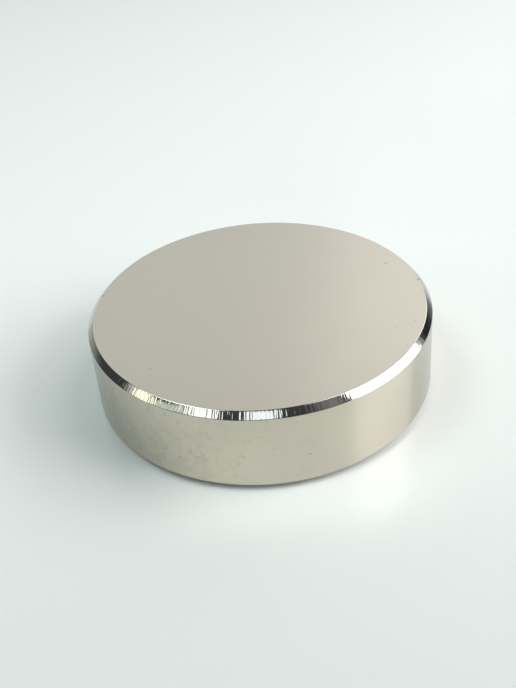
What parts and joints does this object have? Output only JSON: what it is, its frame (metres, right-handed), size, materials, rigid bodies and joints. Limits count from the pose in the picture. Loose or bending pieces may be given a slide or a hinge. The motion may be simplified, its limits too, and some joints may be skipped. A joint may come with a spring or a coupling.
{
  "type": "disc magnet",
  "caption": "Plain solid disc magnet with ground chamfers on both rims, magnetised through its thickness, for holding, lifting and bench fixtures.",
  "frame": {"origin": "centre of the lower pole face, the face that the disc rests on", "axes": "+Z is the disc's axis, from the lower pole face to the upper one"},
  "size_m": [0.06, 0.06, 0.015],
  "materials": {
    "nickel_plating": "satin"
  },
  "bodies": {
    "root": {"magnet": "nickel_plating"}
  },
  "joints": []
}
